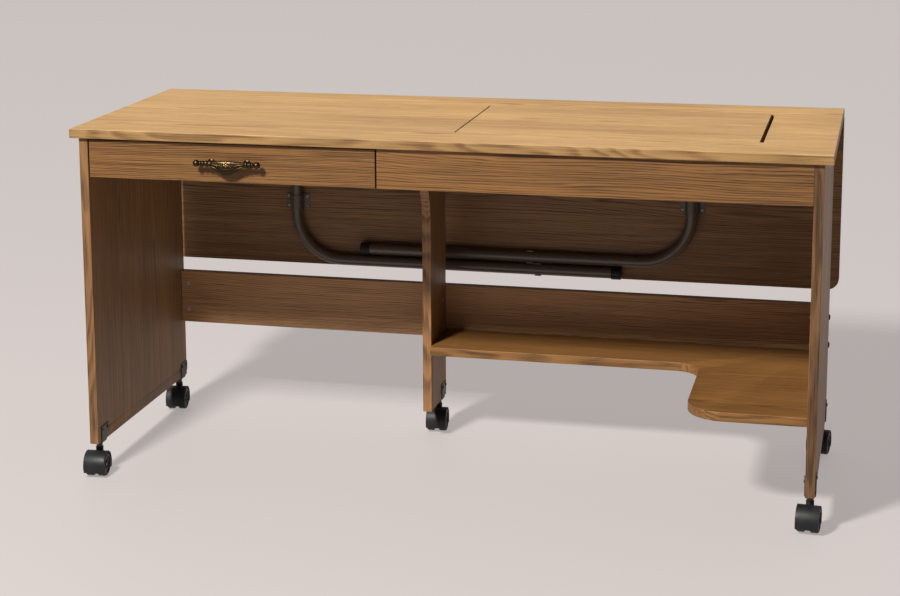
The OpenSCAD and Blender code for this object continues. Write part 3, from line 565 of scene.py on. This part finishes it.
def make_pull():
    lo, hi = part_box("drawer_pull")
    middle = (lo.x + hi.x) / 2
    stretch = (hi.x - lo.x) / (2 * PULL_END[-1][0] / 1000)
    panel_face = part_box("drawer_front")[0].y
    axis_y = lo.y + PULL_BAR_R
    axis_z = hi.z - PULL_BAR_R
    bm = bmesh.new()
    for side in (-1, 1):
        profile = [(a / 1000 * stretch, r / 1000) for a, r in PULL_END]
        lathe(bm, [(profile[0][0], 0), *profile], (middle, axis_y, axis_z), (side, 0, 0))
        foot = (middle + side * PULL_POST, panel_face, axis_z)
        lathe(bm, PULL_FOOT, foot, (0, -1, 0), 28)
        pull_scroll(bm, middle, side, axis_y, axis_z)
    pull_body(bm, middle, axis_y, axis_z, lo.z + 0.0001)
    pull_flower(bm, Vector((middle, axis_y - 0.0044, axis_z)))
    bmesh.ops.recalc_face_normals(bm, faces=bm.faces)
    mesh = bpy.data.meshes.new("pull_look")
    bm.to_mesh(mesh)
    bm.free()
    for polygon in mesh.polygons:
        polygon.use_smooth = True
    mesh.set_sharp_from_angle(angle=math.radians(55))
    brass = aged_brass("antique_brass", (middle, axis_y - 0.006, axis_z))
    make_piece("drawer_pull_cast", mesh, "drawer", brass, "drawer_pull")


# Each wood is its early wood's colour and its late wood's. The board wood is for the panels, the leaf
# and the boards under the top, the front wood for the fronts and the shelf, the box wood for the drawer
# box.
# The board, front and rail woods are shaded copies of the top's oak. Painted shade darkens the board and
# front woods, and the rail's wood is painted less dark for the light that reaches it under the drawer.
TOP_WOOD = ((0.55, 0.335, 0.130), (0.25, 0.122, 0.040))
SHADED_BOARD_WOOD = ((0.255, 0.130, 0.050), (0.058, 0.028, 0.013))
SHADED_FRONT_WOOD = ((0.192, 0.088, 0.024), (0.036, 0.014, 0.004))
LESS_SHADED_RAIL_WOOD = ((0.430, 0.230, 0.100), (0.105, 0.050, 0.022))
BOX_WOOD = ((0.36, 0.24, 0.13), (0.22, 0.13, 0.06))


def make_boards():
    # Node, its grain, width and thickness axes, slot, wood, pattern's shift, eased width or None,
    # figure's contrast, and its edges' tone, partly the band's own and partly painted shade and light
    boards = [
        ("tabletop", "xyz", "oak_top", TOP_WOOD, (0.31, 0.42, 0.05), 0.0016, 1.5, 0.50),
        ("machine_insert", "xyz", "oak_top", TOP_WOOD, (0.31, 0.42, 0.05), 0.0007, 1.5, 0.50),
        ("knee_shelf", "xyz", "oak_top", SHADED_FRONT_WOOD, (0.6, 0.21, 1.12), 0.0012, 1.1, 1.0),
        ("rear_leaf", "xzy", "oak_board", SHADED_BOARD_WOOD, (1.7, 0.3, 0.62), None, 1.25, 0.9),
        ("left_panel", "zyx", "oak_board", SHADED_BOARD_WOOD, (0.12, 0.33, 0.85), 0.0010, 1.15, 0.82),
        ("center_panel", "zyx", "oak_board", SHADED_BOARD_WOOD, (0.55, 0.83, 0.15), 0.0010, 1.15, 1.25),
        ("right_panel", "zyx", "oak_board", SHADED_BOARD_WOOD, (0.92, 1.33, 0.95), 0.0010, 1.15, 0.58),
        ("rear_rail", "xzy", "oak_board", LESS_SHADED_RAIL_WOOD, (2.2, 0.7, 0.31), 0.0010, 1.15, 0.9),
        ("false_front", "xzy", "oak_board", SHADED_FRONT_WOOD, (1.2, 0.53, 0.40), 0.0010, 1.25, 0.9),
        ("drawer_front", "xzy", "oak_board", SHADED_FRONT_WOOD, (2.9, 1.35, 0.77), 0.0010, 1.5, 0.9),
        ("insert_ledges_long", "xyz", "oak_board", SHADED_BOARD_WOOD, (3.2, 0.5, 0.1), 0.0008, 0.8, 0.9),
        ("insert_ledges_short", "yxz", "oak_board", SHADED_BOARD_WOOD, (3.9, 0.5, 0.1), 0.0008, 0.8, 0.9),
        ("machine_platform", "xyz", "oak_board", SHADED_BOARD_WOOD, (4.1, 0.8, 0.5), 0.0008, 0.8, 0.9),
        ("drawer_left_side", "yzx", "drawer_box", BOX_WOOD, (1.1, 0.2, 0.6), 0.0008, 0.6, 0.9),
        ("drawer_right_side", "yzx", "drawer_box", BOX_WOOD, (1.6, 0.2, 0.6), 0.0008, 0.6, 0.9),
        ("drawer_back", "xzy", "drawer_box", BOX_WOOD, (1.9, 0.2, 0.6), 0.0008, 0.6, 0.9),
        ("drawer_bottom", "xyz", "drawer_box", BOX_WOOD, (2.1, 0.2, 0.6), 0.0008, 0.6, 0.9),
    ]
    for name, axes, slot, (light, dark), shift, eased, contrast, edge in boards:
        look = oak("oak_" + name, axes, light, dark, shift, contrast, edge)
        dress(name, look, eased)


def make_hardware():
    zinc = metal("zinc_plate", (0.52, 0.53, 0.54), (0.36, 0.36, 0.37), 0.36)
    dark = metal("dark_steel", (0.055, 0.052, 0.050), (0.10, 0.095, 0.09), 0.42)
    tube = metal("tube_paint", (0.085, 0.064, 0.048), (0.095, 0.073, 0.055), 0.30, 0.03, 0.2)
    saddle = metal("saddle_paint", (0.080, 0.055, 0.040), (0.095, 0.068, 0.050), 0.40, 0.04, 0.2)
    # A darker copy of the zinc plate: painted shade for the screws and clips that sit under the top.
    zinc_in_shade = metal("shaded_zinc_copy", (0.20, 0.19, 0.18), (0.14, 0.13, 0.12), 0.42)
    black = plastic("black_moulding", (0.008, 0.008, 0.009), (0.022, 0.021, 0.021), 0.50)
    tread = plastic("wheel_nylon", (0.010, 0.009, 0.010), (0.030, 0.028, 0.027), 0.44, 600.0)
    white = plastic("roller_nylon", (0.72, 0.71, 0.68), (0.55, 0.53, 0.49), 0.42, 600.0)
    for name in ("platform_hangers", "corner_brackets", "cabinet_runner_left", "cabinet_runner_right",
                 "drawer_runner_left", "drawer_runner_right", "hinge_leaves_top", "hinge_leaves_rear"):
        dress(name, zinc, 0.0003, 0.012)
    for name in ("frame_screws", "drawer_screws", "hinge_pins", "barrel_nuts"):
        dress(name, zinc)
    # Leaf screws and leg clips take the zinc's darker copy, painted shade.
    for name in ("leaf_screws", "leg_clips"):
        dress(name, zinc_in_shade)
    dress("leg_saddles", saddle, 0.0006, 0.02)
    dress("caster_brackets", dark, 0.0006, 0.02)
    for name in ("connector_bolts", "shelf_screws", "caster_bracket_screws", "caster_stems"):
        dress(name, dark)
    for name in ("left_leg_tube", "right_leg_tube"):
        dress(name, tube)
    for name in ("left_foot_cap", "right_foot_cap"):
        dress(name, black)
    for name in ("cabinet_rollers", "drawer_rollers"):
        dress(name, white)
    for key in ("lf", "lb", "rf", "rb", "c"):
        dress("caster_hood_" + key, black, 0.0008, 0.012, 3, 40)
        dress("caster_axle_" + key, zinc)
        dress("caster_wheels_" + key, tread, 0.0005, 0.012, 2, 40)


FLOOR_HALF = 24


def make_floor():
    bm = bmesh.new()
    bmesh.ops.create_grid(bm, x_segments=1, y_segments=1, size=FLOOR_HALF)
    mesh = bpy.data.meshes.new("studio_floor")
    bm.to_mesh(mesh)
    bm.free()
    floor = bpy.data.objects.new("studio_floor", mesh)
    mesh.materials.append(floor_material())
    scene.collection.objects.link(floor)


make_camera()
make_light()
make_boards()
make_hardware()
make_pull()
make_floor()
